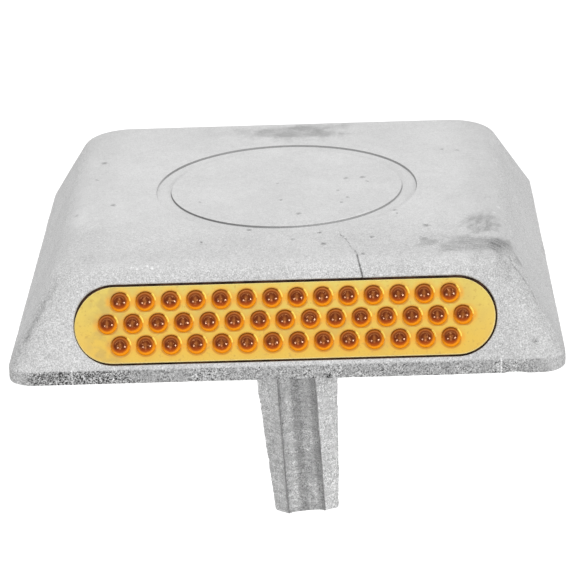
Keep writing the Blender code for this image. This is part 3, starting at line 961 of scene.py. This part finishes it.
def cast_aluminium():
    """Bare cast metal: sandy grain, dull stains, painted light and shade on its faces, painted shade on the
    groove walls, painted light and shade across the flutes, and the marks of use.
    """
    s = Shader("cast_aluminium")
    p = s.position()
    x, y, z = s.split(p)
    fine = s.noise(p, 4.2, 3.0, 0.7)
    middle = s.noise(p, 1.6, 3.0, 0.6)
    coarse = s.noise(p, 0.45, 3.0)
    cloud = s.noise(p, 0.07, 3.0)
    on = body_zones(s, y, z)
    dark_end = s.between(x, -24.0, -34.0)
    corner = s.between(s.size(x), 44.5, 48.0)

    fleck = s.raised(s.minus(fine, 0.5), s.minus(middle, 0.5), 0.35)
    fleck = s.times(fleck, body_grain_size(s, on, coarse, dark_end, corner))
    value = s.plus(body_tone(s, x, y, on, dark_end, corner), fleck)
    sparkly = s.plus(on["side"], s.raised(on["front"], on["shank"], 1.6))
    value = s.raised(value, s.times(s.between(fine, 0.62, 0.72), sparkly), 0.11)
    value = s.raised(value, s.minus(cloud, 0.5), 0.12)
    value = s.raised(value, s.minus(coarse, 0.5), 0.08)

    smear = patch_at(s, p, SMEAR_CENTRE, SMEAR_HALF, s.swing(p, 0.22, 4.0, 0.6))
    smear = s.times(smear, s.between(s.noise(p, 0.25, 4.0, 0.6), 0.32, 0.58, 0.55, 1.0))
    value = s.raised(value, s.times(smear, on["top"]), -0.24)
    value = s.plus(value, body_marks(s, p))
    seam = s.times(s.band(s.size(x), SEAM_PLACE, 0.08, 0.22), s.between(s.size(y), 49.0, 49.5))
    value = s.raised(value, s.times(seam, on["rim"]), 0.3)
    # painted shade on the groove's walls
    value = s.times(value, s.minus(1.0, s.times(groove_shade(s, x, y, z), on["top"])))
    # painted light and shade across the flutes and on the shank's right side
    value = s.times(value, s.raised(1.0, s.minus(flute_light_and_shade(s, p), 1.0), on["shank"]))

    height = s.raised(s.raised(fine, middle, 0.6), coarse, 0.7)
    depth = s.raised(s.raised(0.3, on["rim"], 1.2), on["side"], 0.3)
    normal = s.bump(s.times(height, depth), 0.08 * MM, 0.9)
    s.set(Metallic=0.3)
    return s.set(Base_Color=s.grey(value), Roughness=s.between(middle, 0.3, 0.7, 0.6, 0.74), Normal=normal)


# --- Plastic, glass, glue and mirror ---

# Row and bead spacing on a panel, in millimetres
ROW_PITCH = 3.97
BEAD_PITCH = 4.53
GLINT_DIRECTION = (0.9, 0.43)  # where the glints on and beside a bead lie, from its middle


def towards_glint(s, x, y, away):
    """1 straight towards the glint from a bead's middle, less to the sides."""
    along = s.raised(s.times(y, GLINT_DIRECTION[1]), x, GLINT_DIRECTION[0])
    return s.over(along, away)


def painted_bead_light_and_shade(s, x, y):
    """Painted light and shade round the beads, from their regular rows: orange light round each, a painted
    shadow at its edge, and a painted glint right of each.
    """
    level = s.maths("ROUND", s.over(y, ROW_PITCH))
    level = s.maths("MINIMUM", s.maths("MAXIMUM", level, -1.0), 1.0)
    outer_row = s.size(level)
    half_count = s.raised(7.0, outer_row, -0.5)
    place = s.raised(s.over(x, BEAD_PITCH), outer_row, 0.5)
    number = s.raised(s.maths("ROUND", place), outer_row, -0.5)
    number = s.maths("MINIMUM", number, half_count)
    number = s.maths("MAXIMUM", number, s.times(half_count, -1.0))
    dx = s.minus(x, s.times(number, BEAD_PITCH))
    dy = s.minus(y, s.times(level, ROW_PITCH))
    away = s.length(dx, dy)
    glint = s.times(s.band(away, 1.87, 0.03, 0.12), s.between(towards_glint(s, dx, dy, away), 0.88, 0.96))
    upward = s.over(dy, away)
    flat = s.between(s.size(upward), 0.1, 0.6, 1.0, 0.0)
    glow = s.times(s.between(away, 1.75, 3.0, 1.0, 0.0), s.raised(0.65, flat, 1.1))
    edge = s.raised(away, s.between(upward, -0.15, -0.6), -0.2)
    edge = s.times(s.between(edge, 1.8, 2.02, 1.0, 0.0), s.raised(1.0, flat, -0.75))
    return glow, edge, glint


def panel_plastic():
    """Yellow moulded plastic, with painted orange light round the amber beads, painted shadows at their
    edges and painted glints beside them, and small dark specks.
    """
    s = Shader("panel_plastic")
    p = s.position()
    x, y, z = s.split(p)
    cloud = s.noise(p, 0.16, 2.0)
    speck = s.noise(p, 1.9, 3.0)
    glow, edge, glint = painted_bead_light_and_shade(s, x, s.minus(y, (PANEL_DROP + BEAD_RAISE) / MM))
    colour = s.mix(s.between(y, -6.5, 6.5), (0.7, 0.452, 0.067), (0.66, 0.51, 0.115))
    # painted light: orange light from the amber beads
    glow = s.times(glow, s.between(cloud, 0.3, 0.7, 0.65, 1.0))
    colour = s.mix(s.maths("MULTIPLY", glow, 0.95, clamp=True), colour, (0.76, 0.365, 0.034))
    # painted shadow at each bead's edge
    colour = s.mix(s.times(edge, 0.8), colour, (0.54, 0.21, 0.01))
    smudge = s.times(s.between(x, -36.5, -33.8), s.between(x, -28.0, -31.0))
    smudge = s.times(smudge, s.between(s.noise(p, 0.45, 3.0), 0.38, 0.62))
    colour = s.mix(s.times(smudge, 0.5), colour, (0.44, 0.31, 0.1))
    # painted highlight: the glint beside each bead
    colour = s.mix(glint, colour, (1.0, 0.8, 0.13))
    colour = s.mix(s.between(speck, 0.58, 0.72, 0.0, 0.45), colour, (0.45, 0.26, 0.05))
    colour = s.mix(s.between(cloud, 0.5, 0.75, 0.0, 0.5), colour, (0.56, 0.38, 0.1))
    # painted highlight along the panel's rounded edge
    bevel_highlight = s.between(z, -0.27, -0.205, 0.8, 0.0)
    colour = s.mix(bevel_highlight, colour, (0.92, 0.76, 0.34))
    normal = s.bump(s.noise(p, 0.5), 0.08 * MM, 0.35)
    s.set(Coat_Weight=0.15, Coat_Roughness=0.15)
    return s.set(Base_Color=colour, Roughness=s.between(speck, 0.3, 0.7, 0.34, 0.46), Normal=normal)


def bead_collar(s, x, y, from_axis):
    """The orange collar, its look painted light and shade: brightest below, a painted shadow along its upper
    left edge, and a painted glint on its right.
    """
    # painted light: the collar brightest low down
    low = s.between(s.raised(y, x, -0.28), -1.3, 1.2, 1.0, 0.0)
    collar = s.mix(low, (0.27, 0.074, 0.005), (0.84, 0.275, 0.002))
    # painted shadow along the collar's upper edge
    edge = s.mix(s.between(y, -1.3, -0.3), (0.6, 0.2, 0.003), (0.7, 0.25, 0.016))
    edge = s.mix(s.between(y, 0.2, 1.2), edge, (0.11, 0.028, 0.001))
    collar = s.mix(s.between(from_axis, 1.58, 1.75, 0.0, 0.9), collar, edge)
    # painted highlight: the glint on the collar
    glint = s.between(towards_glint(s, x, y, from_axis), 0.88, 0.97)
    glint = s.times(glint, s.between(from_axis, 1.62, 1.74))
    return s.mix(glint, collar, (1.0, 0.62, 0.09))


def bead_core(s, x, y, from_core, chance, swirl, sparkle):
    """The dark core, a painted reflection in the mirror, with a painted arc above, an upright strip and
    bright flecks of painted reflection, a painted glint at its foot and a bright rim of painted light.
    """
    # painted reflection: the dark core, redder low down
    core = s.mix(s.between(from_core, 0.05, 0.6), (0.23, 0.06, 0.008), (0.12, 0.017, 0.001))
    core = s.mix(s.between(y, -0.3, -1.15, 0.0, 0.9), core, (0.38, 0.056, 0.001))
    # painted reflections: an arc, an upright strip and bright flecks
    arc = s.times(s.band(from_core, 0.9, 0.03, 0.13, 0.6), s.between(y, 0.05, 0.6))
    core = s.mix(arc, core, (0.38, 0.13, 0.03))
    strip = s.times(s.between(s.size(x), 0.34, 0.02), s.between(swirl, 0.35, 0.6, 0.1, 0.75))
    core = s.mix(s.times(strip, s.between(from_core, 1.0, 0.5)), core, (0.34, 0.11, 0.028))
    bright = s.times(s.between(sparkle, 0.62, 0.72), s.between(from_core, 1.05, 0.7))
    core = s.mix(s.times(bright, 0.6), core, (0.7, 0.3, 0.12))
    # painted highlight at the core's foot
    foot = s.between(s.length(x, s.plus(y, 0.52)), 0.28, 0.05)
    foot = s.times(foot, s.between(chance, 0.2, 0.8, 0.1, 0.8))
    core = s.mix(foot, core, (0.66, 0.22, 0.075))
    # painted light: the core's rim brightest low down
    rim = s.mix(s.between(y, -1.7, 1.2, 1.0, 0.0), (0.25, 0.056, 0.004), (0.46, 0.09, 0.001))
    return s.mix(s.between(from_core, 0.98, 1.22), core, rim)


def amber_bead():
    """A clear amber lens over its mirror: a dark core of painted reflection in an orange collar of painted
    light and shade, different on each bead.
    """
    s = Shader("amber_bead")
    x, y, _ = s.split(s.position())
    chance = s.add("ObjectInfo").outputs["Random"]
    place = s.join(x, y, s.times(chance, 40.0))
    swirl = s.noise(place, 1.3, 2.0, 0.6)
    sparkle = s.noise(place, 2.8, 1.0)
    core_x = s.minus(x, CORE_SHIFT)
    from_core = s.raised(s.length(core_x, y), s.minus(swirl, 0.5), 0.22)
    from_axis = s.length(x, y)
    core = bead_core(s, core_x, y, from_core, chance, swirl, sparkle)
    colour = s.mix(s.between(from_core, 1.2, 1.44), core, bead_collar(s, x, y, from_axis))
    # painted reflection: a light arc above the core
    outer_arc = s.times(s.band(from_core, 1.38, 0.02, 0.1, 0.7), s.between(y, 0.05, 0.6))
    colour = s.mix(outer_arc, colour, (0.5, 0.17, 0.04))
    s.set(IOR=1.5, Specular_Tint=(1.0, 0.62, 0.4, 1))
    s.set(Specular_IOR_Level=s.between(from_axis, 1.5, 1.62, 0.72, 0.1))
    return s.set(Base_Color=colour, Roughness=s.between(sparkle, 0.3, 0.7, 0.1, 0.14))


def brown_glue():
    """Set brown glue, dull, with darker pools."""
    s = Shader("glue")
    p = s.position()
    cloud = s.noise(p, 0.5)
    colour = s.mix(s.between(cloud, 0.35, 0.7), (0.012, 0.005, 0.002), (0.06, 0.025, 0.01))
    normal = s.bump(s.noise(p, 1.2), 0.1 * MM)
    s.set(Specular_IOR_Level=0.15)
    return s.set(Base_Color=colour, Roughness=s.between(cloud, 0.3, 0.7, 0.5, 0.65), Normal=normal)


def mirror_backing():
    """A slightly hazy mirror coat."""
    s = Shader("mirror_backing")
    haze = s.noise(s.position(), 0.8, 3.0)
    tone = s.between(haze, 0.3, 0.7, 0.7, 0.9)
    s.set(Metallic=1.0)
    return s.set(Base_Color=s.grey(tone), Roughness=s.between(haze, 0.3, 0.7, 0.06, 0.2))


# --- Stage ---

FLOOR_DROP = 0.06  # the floor lies this far below the shank's tip
FLOOR_HALF = 6.0

# The camera's turn, height and tilt, as angles, and its place
CAMERA_YAW = math.radians(-1.507)
CAMERA_PITCH = math.radians(21.388)
CAMERA_ROLL = math.radians(-2.172)
CAMERA_DISTANCE = 0.53644
CAMERA_OFFSET = (-0.383 * MM, -1.91 * MM)
CAMERA_LENS = 171.96

WORLD_LIGHT = 0.4
# Lamps: name, direction towards it, width in degrees, strength, seen in reflections
LAMPS = (
    ("overhead", (-0.1, 0.3, 1.0), 60.0, 0.83, False),
    ("right_lamp", (0.608, -0.671, 0.321), 14.0, 0.34, True),
    ("left_lamp", (-0.485, -0.86, 0.247), 14.0, 0.22, True),
)


def make_camera():
    """A long lens in front of the marker, looking down on it, with the slight tilt it was held at."""
    forward = Vector((
        math.sin(CAMERA_YAW) * math.cos(CAMERA_PITCH),
        math.cos(CAMERA_YAW) * math.cos(CAMERA_PITCH),
        -math.sin(CAMERA_PITCH),
    ))
    level = Vector((math.cos(CAMERA_YAW), -math.sin(CAMERA_YAW), 0.0))
    above = level.cross(forward)
    right = level * math.cos(CAMERA_ROLL) + above * math.sin(CAMERA_ROLL)
    up = above * math.cos(CAMERA_ROLL) - level * math.sin(CAMERA_ROLL)
    place = right * CAMERA_OFFSET[0] + up * CAMERA_OFFSET[1] - forward * CAMERA_DISTANCE
    camera = bpy.data.objects.new("camera", bpy.data.cameras.new("camera"))
    camera.data.lens = CAMERA_LENS
    camera.data.clip_start = 0.01
    axes = Matrix((right, up, -forward)).transposed()
    camera.matrix_world = Matrix.Translation(place) @ axes.to_4x4()
    link(camera)
    bpy.context.scene.camera = camera


def make_floor():
    """A white floor that is seen from above only, so that views from below show the underside."""
    height = SHANK_TIP - FLOOR_DROP
    half = FLOOR_HALF
    mesh = bpy.data.meshes.new("floor")
    points = [(-half, -half, height), (half, -half, height), (half, half, height), (-half, half, height)]
    mesh.from_pydata(points, [], [(0, 1, 2, 3)])
    s = Shader("floor")
    s.set(Base_Color=(0.93, 0.93, 0.93, 1), Roughness=0.9)
    back = s.add("NewGeometry").outputs["Backfacing"]
    clear = s.add("BsdfTransparent").outputs[0]
    either = s.add("MixShader", {0: back, 1: s.surface.outputs[0], 2: clear})
    s.tree.links.new(either.outputs[0], s.tree.nodes["Material Output"].inputs["Surface"])
    mesh.materials.append(s.material)
    floor = bpy.data.objects.new("floor", mesh)
    link(floor)
    floor.visible_glossy = False


def add_lamp(name, direction, spread, strength, in_reflections):
    """A soft lamp far off in one direction, spread degrees across. A white surface that faces it
    shines at the strength asked for."""
    light = bpy.data.lights.new(name, "SUN")
    light.angle = math.radians(spread)
    light.energy = strength * math.pi
    obj = bpy.data.objects.new(name, light)
    obj.rotation_mode = "QUATERNION"
    obj.rotation_quaternion = Vector(direction).to_track_quat("Z", "Y")
    obj.visible_glossy = in_reflections
    link(obj)


def make_lights():
    world = bpy.data.worlds.new("studio")
    world.use_nodes = True
    world.node_tree.nodes["Background"].inputs[0].default_value = (1, 1, 1, 1)
    world.node_tree.nodes["Background"].inputs[1].default_value = WORLD_LIGHT
    bpy.context.scene.world = world
    for lamp in LAMPS:
        add_lamp(*lamp)


def main():
    make_casting(cast_aluminium())
    make_beads(amber_bead())
    to_side = side_matrix(0.0).inverted()
    on_side = [to_side @ place for place in bead_places().values()]
    centres = [(place.x, place.y + PANEL_DROP) for place in on_side]
    plastic = panel_plastic()
    glue = brown_glue()
    mirror = mirror_backing()
    for side, turn in (("front", 0.0), ("rear", math.pi)):
        make_panel(side, turn, plastic, centres)
        make_glue(side, turn, glue)
        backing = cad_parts[f"{side}_mirror_backing"]
        backing.data.materials.clear()
        backing.data.materials.append(mirror)
    make_floor()
    make_lights()
    make_camera()
    bpy.context.scene.view_settings.view_transform = "Standard"


main()
